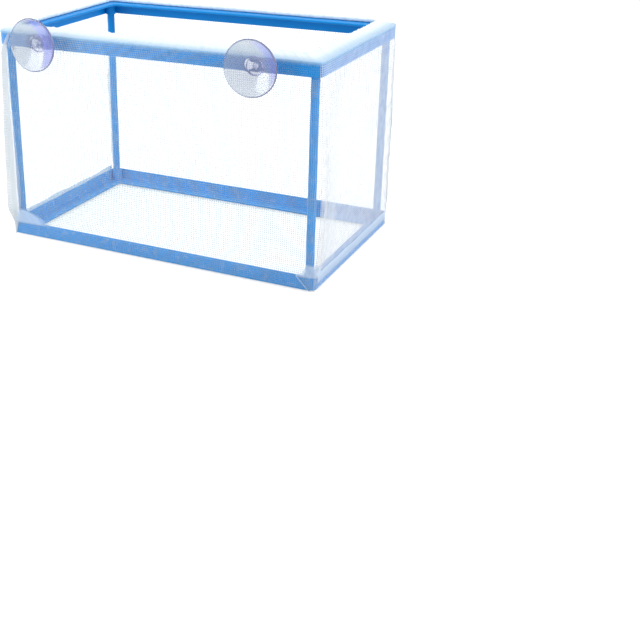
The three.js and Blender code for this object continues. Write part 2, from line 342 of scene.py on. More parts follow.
def new_material(name):
    """An empty material, its node tree and its output node."""
    material = bpy.data.materials.new(name)
    material.use_nodes = True
    tree = material.node_tree
    tree.nodes.clear()
    return material, tree, add_node(tree, "ShaderNodeOutputMaterial")


def blue_plastic(name, colour, deep_colour, grain, stretch, roughness):
    """Blue plastic whose pigment drifts between two close blues, with a fine surface grain.
    The grain is a noise of the given size in metres, drawn out along Z by the stretch."""
    material, tree, output = new_material(name)
    place = add_node(tree, "ShaderNodeTexCoord").outputs["Object"]
    drawn = add_node(tree, "ShaderNodeMapping", {
        "Vector": place, "Scale": (1, 1, 1 / stretch),
    }).outputs["Vector"]
    drift = add_node(tree, "ShaderNodeTexNoise", {"Vector": drawn, "Scale": 1 / PIGMENT_SIZE, "Detail": 3.0})
    pigment = add_node(tree, "ShaderNodeMix", {
        "Factor": drift.outputs["Fac"],
        "A": linear(deep_colour),
        "B": linear(colour),
    }, data_type="RGBA")
    peel = add_node(tree, "ShaderNodeTexNoise", {"Vector": drawn, "Scale": 1 / grain, "Detail": 4.0})
    relief = add_node(tree, "ShaderNodeBump", {
        "Height": peel.outputs["Fac"], "Distance": GRAIN_RELIEF, "Strength": 0.5,
    })
    gloss = add_node(tree, "ShaderNodeMapRange", {
        "Value": peel.outputs["Fac"], "To Min": roughness - GLOSS_DRIFT, "To Max": roughness + GLOSS_DRIFT,
    })
    shader = add_node(tree, "ShaderNodeBsdfPrincipled", {
        "Base Color": pigment.outputs["Result"],
        "Roughness": gloss.outputs["Result"],
        "Normal": relief.outputs["Normal"],
        "IOR": 1.49,
        "Specular IOR Level": 0.18,
    })
    tree.links.new(shader.outputs["BSDF"], output.inputs["Surface"])
    return material


def monofilament(name, colour, clear, milky):
    """Thin nylon monofilament, woven into a net: whitish, mostly see-through, with a soft gloss.
    Its cover drifts between the clear and the milky value over a few meshes of the net."""
    material, tree, output = new_material(name)
    place = add_node(tree, "ShaderNodeTexCoord").outputs["Object"]
    drift = add_node(tree, "ShaderNodeTexNoise", {"Vector": place, "Scale": 1 / HAZE_SIZE, "Detail": 3.0})
    haze = add_node(tree, "ShaderNodeMapRange", {
        "Value": drift.outputs["Fac"], "From Min": 0.3, "From Max": 0.7, "To Min": clear, "To Max": milky,
    })
    laid = add_node(tree, "ShaderNodeAttribute", attribute_name="cover")
    cover = add_node(tree, "ShaderNodeMath", {
        0: haze.outputs["Result"], 1: laid.outputs["Fac"],
    }, operation="MULTIPLY")
    shader = add_node(tree, "ShaderNodeBsdfPrincipled", {
        "Base Color": linear(colour),
        "Roughness": 0.38,
        "IOR": 1.53,
        "Specular IOR Level": 0.4,
        "Alpha": cover.outputs[0],
    })
    tree.links.new(shader.outputs["BSDF"], output.inputs["Surface"])
    return material


def net_cloth(name, colour, low_alpha, high_alpha, thin_colour):
    """Nylon net in several layers: white threads at the net's pitch, and the layer below between them.
    The threads follow the piece's UV map, which is in metres, and a second set lies a little aside. The
    piece's cover thins the net, whose colour turns to the thin one there."""
    material, tree, output = new_material(name)
    flat = add_node(tree, "ShaderNodeTexCoord").outputs["UV"]
    sets = []
    for shift in (0.0, LAYER_SHIFT):
        moved = add_node(tree, "ShaderNodeMapping", {"Vector": flat, "Location": (shift, shift, 0)})
        parts = add_node(tree, "ShaderNodeSeparateXYZ", {"Vector": moved.outputs["Vector"]})
        lines = []
        for way in ("X", "Y"):
            wave = add_node(tree, "ShaderNodeMath", {
                0: parts.outputs[way], 1: MESH_PITCH / 2,
            }, operation="PINGPONG")
            line = add_node(tree, "ShaderNodeMapRange", {
                "Value": wave.outputs[0], "From Min": DRAWN_THREAD_EDGE, "From Max": DRAWN_THREAD_CORE,
            }, interpolation_type="SMOOTHSTEP")
            lines.append(line.outputs["Result"])
        both = add_node(tree, "ShaderNodeMath", {0: lines[0], 1: lines[1]}, operation="MAXIMUM")
        sets.append(both.outputs[0])
    weave = add_node(tree, "ShaderNodeMath", {0: sets[0], 1: sets[1]}, operation="MAXIMUM").outputs[0]
    woven = add_node(tree, "ShaderNodeMapRange", {"Value": weave, "To Min": low_alpha, "To Max": high_alpha})
    laid = add_node(tree, "ShaderNodeAttribute", attribute_name="cover").outputs["Fac"]
    cover = add_node(tree, "ShaderNodeMath", {0: woven.outputs["Result"], 1: laid}, operation="MULTIPLY")
    depth = add_node(tree, "ShaderNodeMapRange", {
        "Value": laid, "From Min": THIN_COVER, "From Max": FULL_COVER,
    })
    shade = add_node(tree, "ShaderNodeMix", {
        "Factor": depth.outputs["Result"], "A": linear(thin_colour), "B": linear(colour),
    }, data_type="RGBA")
    relief = add_node(tree, "ShaderNodeBump", {"Height": weave, "Distance": WEAVE_RELIEF, "Strength": 0.6})
    shader = add_node(tree, "ShaderNodeBsdfPrincipled", {
        "Base Color": shade.outputs["Result"],
        "Roughness": 0.6,
        "Specular IOR Level": 0.3,
        "Sheen Weight": 0.1,
        "Alpha": cover.outputs[0],
        "Normal": relief.outputs["Normal"],
    })
    tree.links.new(shader.outputs["BSDF"], output.inputs["Surface"])
    return material


def clear_pvc():
    """Clear soft PVC, moulded glossy and a little milky. Its violet tint shows where it is thick or is seen
    edge on, where light comes to the eye along the wall."""
    material, tree, output = new_material("clear soft PVC")
    edge = add_node(tree, "ShaderNodeLayerWeight", {"Blend": 0.5})
    slanted = add_node(tree, "ShaderNodeMapRange", {
        "Value": edge.outputs["Facing"], "From Min": 0.27, "From Max": 0.41,
    }, interpolation_type="SMOOTHSTEP")
    shade = add_node(tree, "ShaderNodeMix", {
        "Factor": slanted.outputs["Result"], "A": linear("#d6dbdf"), "B": linear("#b2b6ff"),
    }, data_type="RGBA")
    shader = add_node(tree, "ShaderNodeBsdfPrincipled", {
        "Base Color": shade.outputs["Result"],
        "Roughness": 0.12,
        "IOR": 1.47,
        "Transmission Weight": 0.86,
    })
    tint = add_node(tree, "ShaderNodeVolumeAbsorption", {"Color": linear("#8c8cf6"), "Density": 30.0})
    tree.links.new(shader.outputs["BSDF"], output.inputs["Surface"])
    tree.links.new(tint.outputs["Volume"], output.inputs["Volume"])
    return material


def plain_thread(name, colour, roughness, alpha=1.0):
    """Spun or braided yarn: matt, mottled between its colour and white, with a fine twist in its surface
    that a noise stands for. An alpha below 1 is for thread that is finer than it is drawn."""
    material, tree, output = new_material(name)
    place = add_node(tree, "ShaderNodeTexCoord").outputs["Object"]
    fuzz = add_node(tree, "ShaderNodeTexNoise", {"Vector": place, "Scale": 1 / YARN_TWIST, "Detail": 2.0})
    relief = add_node(tree, "ShaderNodeBump", {"Height": fuzz.outputs["Fac"], "Distance": YARN_RELIEF})
    shade = add_node(tree, "ShaderNodeMix", {
        "Factor": fuzz.outputs["Fac"], "A": linear(colour), "B": linear("#ffffff"),
    }, data_type="RGBA")
    shader = add_node(tree, "ShaderNodeBsdfPrincipled", {
        "Base Color": shade.outputs["Result"],
        "Roughness": roughness,
        "Alpha": alpha,
        "Normal": relief.outputs["Normal"],
    })
    tree.links.new(shader.outputs["BSDF"], output.inputs["Surface"])
    return material


ring_plastic = blue_plastic("injection-moulded polypropylene", "#008cda", "#0081ce", 0.0006, 1, 0.44)
post_plastic = blue_plastic("extruded polypropylene", "#008ad8", "#007eca", 0.0004, 40, 0.3)
net_thread = monofilament("nylon monofilament", "#e0f5ff", 0.18, 0.30)
# The right wall's thread is a whiter, denser copy of the net thread: partly the wall's slack, partly painted
# light for the side that the right lamp lights.
lit_side_thread = monofilament("white nylon monofilament", "#fafdff", 0.29, 0.39)
hem_net = net_cloth("gathered net", "#e8f5fc", 0.88, 0.99, thin_colour="#b6e2ff")
# The doubled net's colour is painted shade: grey where its cover is full, white where it is thin.
shade_painted_seam_net = net_cloth("doubled net, painted grey where dense", "#dde5ea", 0.55, 0.75, thin_colour="#f6f9ff")
tucked_net = net_cloth("net turned up over the bottom ring", "#e2f0ff", 0.74, 0.90, thin_colour="#d2e8ff")
sewing_thread = plain_thread("nylon sewing thread", "#fafcff", 0.6, alpha=0.35)
elastic_braid = plain_thread("braided elastic", "#f2f2ee", 0.75)
cup_pvc = clear_pvc()


# Rings

def ring(name, node, lip_width, lip_on_top):
    """A moulded ring: its L-shaped section carried round the frame.
    The wall's points stand off the outer rectangle, and the lip's edge stands off the mouth's rectangle."""
    low, high = corners_of(node)
    foot, edge, lip, fillet = WALL_FOOT_RADIUS, RING_EDGE_RADIUS, LIP_THICKNESS / 2, INNER_FILLET_RADIUS
    outside = np.concatenate([
        arc((-foot, foot - RING_HEIGHT), foot, -90, 0, 4),
        arc((-edge, -edge), edge, 0, 90, 6),
    ])
    mouth = arc((lip, -lip), lip, 90, 270, 10)
    inside = np.concatenate([
        arc((-RING_WALL - fillet, -LIP_THICKNESS - fillet), fillet, 90, 0, 4),
        arc((foot - RING_WALL, foot - RING_HEIGHT), foot, 180, 270, 4),
    ])
    outer_base, outward = rectangle_path(low, high, RING_CORNER_RADIUS, 12)
    mouth_base, _ = rectangle_path(low[:2] + lip_width, high[:2] - lip_width, LIP_CORNER_RADIUS, 12)
    loops = []
    for section, base, radius in (
        (outside, outer_base, RING_CORNER_RADIUS),
        (mouth, mouth_base, LIP_CORNER_RADIUS),
        (inside, outer_base, RING_CORNER_RADIUS),
    ):
        flat = base + (radius + section[:, :1, None]) * outward
        height = high[2] + section[:, 1] if lip_on_top else low[2] - section[:, 1]
        loops.append(np.concatenate([flat, np.repeat(height[:, None, None], len(base), 1)], -1))
    points = np.concatenate(loops)
    return add_piece(name, points, grid_faces(points.shape[0], points.shape[1], True, True))


def post_axis(corner):
    """The place of a post's axis in plan."""
    low, high = corners_of(f"{corner}_post")
    return (low[:2] + high[:2]) / 2


def add_sockets(made, low, high, lip_on_top):
    """Joins a round socket to the ring at each post and bores it up to the lip."""
    mouth, end = (low[2], high[2] - LIP_THICKNESS) if lip_on_top else (high[2], low[2] + LIP_THICKNESS)
    away, depth, edge = 1 if lip_on_top else -1, abs(end - mouth), SOCKET_EDGE_RADIUS
    sleeve = [
        (0, 0),
        *[(SOCKET_RADIUS - edge + x, edge - y) for x, y in arc((0, 0), edge, 90, 0, 4)],
        (SOCKET_RADIUS, depth + LIP_THICKNESS / 2),
        (0, depth + LIP_THICKNESS / 2),
    ]
    bore = [(0, -OVERRUN), (SOCKET_BORE_RADIUS, -OVERRUN), (SOCKET_BORE_RADIUS, depth), (0, depth)]
    for corner in CORNER_ORDER:
        for profile, operation in ((sleeve, "UNION"), (bore, "DIFFERENCE")):
            stood = [(radius, away * height) for radius, height in profile]
            tool = turned("socket tool", stood, (*post_axis(corner), mouth), "Z", sides=40)
            combine(made, tool, operation)


def keyhole_tool(cup):
    """A prism in the shape of a keyhole: a slot that ends in a larger round hole, through the front wall."""
    low, high = corners_of(cup)
    centre_x, centre_z = (low[0] + high[0]) / 2, (low[2] + high[2]) / 2
    slot, entry = NECK_RADIUS + FIT_GAP, HEAD_RADIUS + FIT_GAP
    meeting = math.degrees(math.asin(slot / entry))
    outline = np.concatenate([
        arc((0, 0), slot, -90, 90, 16),
        arc((-KEYHOLE_TRAVEL, 0), entry, meeting, 360 - meeting, 32),
    ])
    depth = np.array([top_low[1] - OVERRUN, top_low[1] + RING_WALL + OVERRUN])
    count = len(outline)
    flat = np.stack([centre_x + outline[:, 0], np.zeros(count), centre_z + outline[:, 1]], -1)
    points = np.concatenate([flat + (0, y, 0) for y in depth])
    sides = grid_faces(2, count, False, True)
    mesh = bpy.data.meshes.new("keyhole tool")
    caps = [list(range(count)), list(range(count, 2 * count))]
    mesh.from_pydata(points.tolist(), [], sides.tolist() + caps)
    tidy_mesh(mesh)
    made = bpy.data.objects.new("keyhole tool", mesh)
    bpy.context.scene.collection.objects.link(made)
    return made


def make_rings():
    """Both rings with their sockets, and the keyholes of the top one."""
    top = ring("top_ring", "top_frame", TOP_LIP_WIDTH, True)
    add_sockets(top, top_low, top_high, True)
    for cup in ("left_suction_cup", "right_suction_cup"):
        combine(top, keyhole_tool(cup), "DIFFERENCE")
    bottom = ring("bottom_ring", "bottom_frame", BOTTOM_LIP_WIDTH, False)
    add_sockets(bottom, bottom_low, bottom_high, False)
    for made, node in ((top, "top_frame"), (bottom, "bottom_frame")):
        tidy_mesh(made.data)
        dress(made, ring_plastic, replaces=(node,))


def make_posts():
    """Posts: tubes with chamfered ends."""
    for corner in CORNER_ORDER:
        low, high = corners_of(f"{corner}_post")
        radius, length = (high[0] - low[0]) / 2, high[2] - low[2]
        wall = [
            (POST_BORE_RADIUS, POST_CHAMFER),
            (POST_BORE_RADIUS + POST_CHAMFER, 0),
            (radius - POST_CHAMFER, 0),
            (radius, POST_CHAMFER),
            (radius, length - POST_CHAMFER),
            (radius - POST_CHAMFER, length),
            (POST_BORE_RADIUS + POST_CHAMFER, length),
            (POST_BORE_RADIUS, length - POST_CHAMFER),
        ]
        tube = turned(f"{corner}_tube", wall, (*post_axis(corner), low[2]), "Z", sides=48, closed=True)
        dress(tube, post_plastic, replaces=(f"{corner}_post",))


make_rings()
make_posts()


# Netting

def thread_mesh(name, sets, width, cover=None):
    """Square threads: each path gets four edges, half a width to both sides of it in the net and out of it.
    A set is the paths, the direction across them and the direction out, each as threads by steps by three."""
    points, faces, start = [], [], 0
    for paths, across, out in sets:
        threads, steps = paths.shape[:2]
        edges = [paths + width / 2 * (a * across + b * out) for a, b in ((-1, -1), (1, -1), (1, 1), (-1, 1))]
        points.append(np.stack(edges, 2).reshape(-1, 3))
        first = start + np.arange(threads)[:, None, None] * steps * 4
        step = np.arange(steps - 1)[None, :, None] * 4
        edge = np.arange(4)[None, None, :]
        beside = (edge + 1) % 4
        sides = [first + step + place for place in (edge, beside, 4 + beside, 4 + edge)]
        faces.append(np.stack(sides, -1).reshape(-1, 4))
        for end in (0, (steps - 1) * 4):
            faces.append(start + np.arange(threads)[:, None] * steps * 4 + end + np.arange(4))
        start += threads * steps * 4
    points = np.concatenate(points)
    shares = np.ones(len(points)) if cover is None else cover(points)
    return add_piece(name, points, np.concatenate(faces), sharp_degrees=100, cover=shares)


def unit(vectors):
    """The vectors at length 1."""
    return vectors / np.linalg.norm(vectors, axis=-1, keepdims=True)


def surface_threads(surface, across_values, up_values, across_samples, up_samples):
    """Threads of a net on a surface of two parameters: one set runs along each, and the two cross.
    Directions come from the surface's slopes; the first set lies a little inside the second."""
    def set_of(a, b, first):
        slope_a = unit(surface(a + SLOPE_STEP, b) - surface(a - SLOPE_STEP, b))
        slope_b = unit(surface(a, b + SLOPE_STEP) - surface(a, b - SLOPE_STEP))
        out = unit(np.cross(slope_a, slope_b))
        moved = -THREAD_OFFSET if first else THREAD_OFFSET
        return surface(a, b) + out * moved, slope_a if first else slope_b, out

    uprights = set_of(*np.broadcast_arrays(across_values[:, None], up_samples[None, :]), True)
    levels = set_of(*np.broadcast_arrays(across_samples[None, :], up_values[:, None]), False)
    return uprights, levels


def walk_table():
    """The net's way round the frame in plan: its points, and how far along it they and the corners are."""
    base, outward = rectangle_path(top_low, top_high, RING_CORNER_RADIUS, WALK_CORNER_STEPS)
    closed, distance = round_trip(base + outward * (RING_CORNER_RADIUS + NET_STANDOFF))
    middles = distance[WALK_CORNER_STEPS // 2::WALK_CORNER_STEPS + 1]
    return closed, distance, dict(zip(CORNER_ORDER, middles))


WALK_POINTS, WALK_DISTANCE, CORNER_AT = walk_table()
WALK_LENGTH = WALK_DISTANCE[-1]


def walk(distance):
    """The point in plan at a distance along the net's way round the frame."""
    wrapped = np.mod(distance, WALK_LENGTH)
    return np.stack([np.interp(wrapped, WALK_DISTANCE, WALK_POINTS[:, way]) for way in (0, 1)], -1)


NET_TOP = top_high[2]

# Corner seams. A row of numbers runs up the seam, at the shares of the net's height that come first, and a
# single number holds at every height. In millimetres: slide is how far the seam has moved along the wall,
# aside and forth how far it pulls the net out to the side and to the front or rear, fin the fin's width, veil
# the width of its thin part beside the seam line, and cut the width of its cloth before it is sewn. The
# heading is the way in which the fin points, in degrees from the right, and cover is how dense it is. Cover
# also picks the doubled net's colour, which is painted shade: grey where the seam is dense, white where it
# is thin. So the front-left seam, in shade, is dense but thins to paint it lighter near its top, and the lit
# front-right seam is thin.
SEAM_HEIGHT_SHARES = (0, 0.07, 0.13, 0.30, 0.50, 0.80, 0.90, 0.935, 1.0)
SEAMS = {
    "front_left": {
        "slide": (2.6, 5.8, 9.6, 10.6, 8.8, 6.6, 6.2, 6.4, 11.0),
        "aside": (0, 0.1, 0.4, 0.5, 0.5, 0.4, 0.2, 0, 0),
        "forth": (0, 0.1, 0.6, 0.8, 0.8, 0.6, 0.2, 0, 0),
        "fin": (0.3, 3.6, 10.4, 11.6, 8.3, 5.4, 4.1, 2.8, 1.6),
        "veil": (0, 1.0, 3.3, 3.9, 2.4, 1.0, 0.6, 0, 0),
        "cover": (1.0, 1.0, 1.0, 1.0, 1.0, 1.0, 0.8, 0.6, 0.4),
        "cut": 16,
        "heading": 196,
    },
    "front_right": {
        "slide": 0,
        "aside": (0, 0.3, 1.8, 3.6, 4.0, 2.6, 1.0, 0.3, 0),
        "forth": (0, 0, 0.2, 0.4, 0.4, 0.3, 0.1, 0, 0),
        "fin": (0.3, 1.6, 4.2, 4.8, 4.8, 4.0, 2.2, 0.6, 0.3),
        "veil": 0,
        "cover": 0.25,
        "cut": 10,
        "heading": 350,
    },
    "rear_right": {
        "slide": (-1.0, -1.6, -2.6, -3.0, -3.0, -2.6, -1.4, -0.8, 0),
        "aside": (0, 0.1, 0.6, 0.8, 0.8, 0.6, 0.2, 0, 0),
        "forth": (0, 0.1, 0.3, 0.5, 0.5, 0.3, 0.1, 0, 0),
        "fin": (0.3, 1.6, 4.8, 5.6, 5.6, 4.8, 2.6, 0.8, 0.4),
        "veil": 0,
        "cover": 0.8,
        "cut": 10,
        "heading": 284,
    },
    "rear_left": {
        "slide": (0, 0.4, 0.8, 1.2, 1.0, 0.6, 0.2, 0, 0),
        "aside": (0, 0.2, 1.0, 1.6, 1.8, 1.2, 0.5, 0.1, 0),
        "forth": (0, 0.2, 0.8, 1.2, 1.2, 0.8, 0.3, 0.1, 0),
        "fin": (0.3, 1.6, 4.4, 5.2, 5.2, 4.6, 3.0, 1.8, 1.2),
        "veil": 0,
        "cover": 0.8,
        "cut": 10,
        "heading": 138,
    },
}


def by_height(corner, key, height):
    """A row of a seam's table at a height, read off between its values."""
    share = np.clip((height - NET_BOTTOM) / (NET_TOP - NET_BOTTOM), 0, 1)
    values = np.broadcast_to(np.array(SEAMS[corner][key], float), (len(SEAM_HEIGHT_SHARES),))
    return np.interp(share, SEAM_HEIGHT_SHARES, values)


def seam_value(corner, key, height):
    """One of a seam's measures at a height, in metres."""
    return by_height(corner, key, height) * MM


def pull(corner, height):
    """How far the seam pulls the net out of its way round the frame, as an offset in plan."""
    side_x = 1 if "right" in corner else -1
    side_y = 1 if "rear" in corner else -1
    aside, forth = seam_value(corner, "aside", height), seam_value(corner, "forth", height)
    return np.stack([side_x * aside, side_y * forth], -1)


def fade(distance, reach):
    """1 at no distance, easing to 0 at the reach."""
    left = np.clip(1 - distance / reach, 0, 1)
    return left * left * (3 - 2 * left)


def between_rings(height):
    """0 on the rings and 1 half way between them, as an arch."""
    share = (height - bottom_high[2]) / (top_low[2] - bottom_high[2])
    return np.sin(np.pi * np.clip(share, 0, 1))


def walk_out(distance):
    """The direction in plan out of the bag, at a distance along the net's way round the frame."""
    ahead = walk(distance + SLOPE_STEP) - walk(distance - SLOPE_STEP)
    return unit(np.stack([ahead[..., 1], -ahead[..., 0]], -1))


def wall_ends(start, end):
    """Where a wall starts and ends along the net's way round the frame."""
    first, last = CORNER_AT[start], CORNER_AT[end]
    return first, (last + WALK_LENGTH if last < first else last)


def wall_surface(start, end, seed):
    """A wall of the bag as a function of distance from its first seam, as a share of its length, and height.
    The point walks round the frame from seam to seam. The seams pull it out near the ends. Between the
    rings, slack makes low waves along the wall, and puckers that run into the seams."""
    phase = np.random.default_rng(seed).uniform(0, 2 * math.pi, 4)
    first, last = wall_ends(start, end)

    def surface(share, height):
        left = first + seam_value(start, "slide", height)
        right = last + seam_value(end, "slide", height)
        distance = left + (right - left) * share
        from_start, from_end = (right - left) * share, (right - left) * (1 - share)
        plan = walk(distance)
        for corner, away in ((start, from_start), (end, from_end)):
            plan = plan + pull(corner, height) * fade(away, SLACK_REACH)[..., None]
        waves = WAVE_DEPTH * np.sin(from_start / WAVE_LENGTH + phase[0])
        waves = waves * np.cos(height / WAVE_HEIGHT + phase[1])
        puckers = PUCKER_DEPTH * (
            fade(from_start, PUCKER_REACH) * np.sin(height / PUCKER_HEIGHTS[0] + phase[2])
            + fade(from_end, PUCKER_REACH) * np.sin(height / PUCKER_HEIGHTS[1] + phase[3])
        ) * (1 - fade(np.minimum(from_start, from_end), PUCKER_START))
        plan = plan + walk_out(distance) * ((waves + puckers) * between_rings(height))[..., None]
        return np.concatenate([plan, height[..., None]], -1)

    return surface, last - first


def thin_at_foot(points):
    """A wall's cover: thin at its lowest edge, where it meets the bottom net."""
    return np.interp(points[:, 2], *WALL_COVER)


def painted_rail_light(points):
    """The front net's cover: over the top ring it grows denser towards the left and thinner towards the
    right, a painted light and shade that veils the rail lighter at its left and leaves its right end darker.
    """
    share = (points[:, 0] - top_low[0]) / (top_high[0] - top_low[0])
    on_ring = np.clip((points[:, 2] - top_low[2] + RAIL_FADE) / RAIL_FADE, 0, 1)
    painted_veil = 1 + on_ring * (np.interp(share, *FRONT_RAIL_COVER) - 1)
    return painted_veil * thin_at_foot(points)


def fuller_above_foot(points):
    """The right net's cover: less over the foot of the bottom ring than above it, where it is denser than the
    other walls' net, partly for the wall's slack and partly as painted light on the wall that the right lamp
    lights.
    """
    return np.interp(points[:, 2], *RIGHT_COVER)


def make_wall(name, start, end, node, material, seed, cover=thin_at_foot):
    """One wall of the bag as real threads, closer sampled near the seams and the rings."""
    surface, length = wall_surface(start, end, seed)
    near = np.array(NEAR_SEAM) * MM
    middle = np.linspace(near[-1], length - near[-1], 8)[1:-1]
    along = np.concatenate([near, middle, (length - near)[::-1]]) / length
    up = np.concatenate([
        [NET_BOTTOM, ON_BOTTOM_RING, bottom_high[2]],
        np.linspace(bottom_high[2] + RING_MARGIN, top_low[2] - RING_MARGIN, 34),
        [top_low[2], ON_TOP_RING, NET_TOP],
    ])
    columns, rows = round(length / MESH_PITCH), round((NET_TOP - NET_BOTTOM) / MESH_PITCH)
    sets = surface_threads(
        surface, np.linspace(0, 1, columns + 1), np.linspace(NET_BOTTOM, NET_TOP, rows + 1), along, up,
    )
    made = thread_mesh(name, sets, THREAD_WIDTH, cover)
    dress(made, material, replaces=(node,))


def make_bottom():
    """The bag's bottom: threads under the ring, which sag to the ground inside it."""
    low, high = bottom_low[:2] - NET_STANDOFF, bottom_high[:2] + NET_STANDOFF
    middle, half = (low + high) / 2, (high - low) / 2
    radius = RING_CORNER_RADIUS + NET_STANDOFF

    def reach(offset, way):
        """How far the outline reaches to each side at an offset along the other way."""
        into_corner = np.clip(np.abs(offset) - (half[1 - way] - radius), 0, radius)
        return half[way] - radius + np.sqrt(radius ** 2 - into_corner ** 2)

    def height(x, y):
        """Under the ring the net lies against its underside, and further in it sags to the ground."""
        inside = np.minimum(half[0] - np.abs(x), half[1] - np.abs(y))
        return NET_BOTTOM + BOTTOM_RISE * fade(np.clip(inside - BOTTOM_LIP_WIDTH, 0, 1), BOTTOM_SAG_REACH)

    def thin_at_outline(points):
        """The bottom net's cover: thin at its outline, where it meets the walls, and well inside the ring."""
        inside = (half - np.abs(points[:, :2] - middle)).min(1)
        return np.interp(inside, *BOTTOM_COVER)

    sets = []
    for way, raised in ((0, THREAD_OFFSET), (1, -THREAD_OFFSET)):
        count = round(2 * half[1 - way] / MESH_PITCH)
        offsets = np.linspace(-half[1 - way], half[1 - way], count + 1)[1:-1]
        run = reach(offsets, way)[:, None] * np.linspace(-1, 1, 15)
        aside = np.broadcast_to(offsets[:, None], run.shape)
        x, y = (run, aside) if way == 0 else (aside, run)
        paths = np.stack([x + middle[0], y + middle[1], height(x, y) + raised], -1)
        across, out = np.zeros_like(paths), np.zeros_like(paths)
        across[..., 1 - way] = 1
        out[..., 2] = 1
        sets.append((paths, across, out))
    made = thread_mesh("bottom_netting", sets, THREAD_WIDTH, thin_at_outline)
    dress(made, net_thread, replaces=("bottom_net",))


make_wall("rear_netting", "rear_right", "rear_left", "rear_net", net_thread, 11)
make_wall("left_netting", "rear_left", "front_left", "left_net", net_thread, 12)
make_wall("front_netting", "front_left", "front_right", "front_net", net_thread, 13, painted_rail_light)
make_wall("right_netting", "front_right", "rear_right", "right_net", lit_side_thread, 14, fuller_above_foot)
make_bottom()


# Seams

SEAM_SWAY = 0.12
SEAM_SWAY_HEIGHT = 0.011
SEAM_FOOT_GAP = 0.0004
SEAM_HEAD_GAP = 0.0003
SEAM_LAYER_GAP = 0.0002
SEAM_RIPPLES = ((0.00015, 0.0019, 0), (0.0003, 0.0047, 1))
VEIL_FADE = 0.0015
VEIL_THINNING = 0.8
OVERLOCK_FROM_WIDTH = 0.0014
OVERLOCK_STITCHES = 66
OVERLOCK_DEPTH = 0.0026
OVERLOCK_LEAST_SHARE = 0.62
OVERLOCK_OUT_SHARE = 1.03
OVERLOCK_STANDOFF = 0.00035
OVERLOCK_THREAD = 0.00016


def seam_line(corner, height):
    """The seam's place at a height, its fin's direction, and the direction square to the fin in plan."""
    plan = walk(CORNER_AT[corner] + seam_value(corner, "slide", height)) + pull(corner, height)
    angle = math.radians(SEAMS[corner]["heading"]) + SEAM_SWAY * np.sin(height / SEAM_SWAY_HEIGHT)
    along = np.stack([np.cos(angle), np.sin(angle), 0 * height], -1)
    beside = np.stack([-np.sin(angle), np.cos(angle), 0 * height], -1)
    return np.concatenate([plan, height[:, None]], -1), along, beside


def seam_ripple(height):
    """How far the fin's edge stands aside at a height, as a sum of two waves."""
    return sum(depth * np.sin(height / length + phase) for depth, length, phase in SEAM_RIPPLES)


def make_seam(corner):
    """A corner seam: two layers of net that stand out as a fin, and the overlock thread round its edge.
    A layer's point is on the seam line, out along the fin, and aside by a low ripple that grows outwards.
    The overlock zigzags between the edge and a line further in, from one side of the fin to the other."""
    heights = np.linspace(NET_BOTTOM + SEAM_FOOT_GAP, NET_TOP - SEAM_HEAD_GAP, 130)
    line, along, beside = seam_line(corner, heights)
    width = seam_value(corner, "fin", heights)
    shares = np.linspace(0, 1, 11)
    outward = width[:, None] * shares
    layers, faces, uv = [], [], []
    for index, gap in enumerate((-SEAM_LAYER_GAP, SEAM_LAYER_GAP)):
        aside = seam_ripple(heights)[:, None] * shares + gap
        grid = line[:, None] + along[:, None] * outward[..., None] + beside[:, None] * aside[..., None]
        layers.append(grid.reshape(-1, 3))
        faces.append(grid_faces(len(heights), len(shares)) + index * grid[..., 0].size)
        uv.append(grid_uv(shares * width.max(), heights))
    veiled = np.clip((seam_value(corner, "veil", heights)[:, None] - outward) / VEIL_FADE, 0, 1)
    # The cover also picks the doubled net's colour: painted grey shade where dense, white where thin.
    cover = by_height(corner, "cover", heights)[:, None] * (1 - VEIL_THINNING * veiled)
    cloth = add_piece(
        f"{corner}_seam_cloth", np.concatenate(layers), np.concatenate(faces),
        uv=np.concatenate(uv), cover=np.tile(cover.ravel(), 2),
    )
    dress(cloth, shade_painted_seam_net, replaces=(f"{corner}_seam",))

    wide = heights[width > OVERLOCK_FROM_WIDTH]
    stitch = np.linspace(wide[0], wide[-1], OVERLOCK_STITCHES * 4 + 1)
    line, along, beside = seam_line(corner, stitch)
    width = seam_value(corner, "fin", stitch)
    turn = np.arange(len(stitch)) % 4
    inner_share = np.maximum(OVERLOCK_LEAST_SHARE, 1 - OVERLOCK_DEPTH / width)
    out_share = np.where(turn % 2 == 1, OVERLOCK_OUT_SHARE, inner_share)
    side = np.where(turn == 0, 1.0, np.where(turn == 2, -1.0, 0.0)) * OVERLOCK_STANDOFF
    ripple = seam_ripple(stitch) * out_share
    path = line + along * (width * out_share)[:, None] + beside * (side + ripple)[:, None]
    upward = np.repeat(np.array([[0, 0, 1.0]]), len(stitch), 0)
    overlock = thread_mesh(f"{corner}_overlock", [(path[None], upward[None], beside[None])], OVERLOCK_THREAD)
    dress(overlock, sewing_thread)


for corner in CORNER_ORDER:
    make_seam(corner)


# Tucks: slack net folded flat over the bottom ring at the front corners. In millimetres: heights, and how far
# the fold stands to the left of the seam's corner and the right edge to its right at each of them.

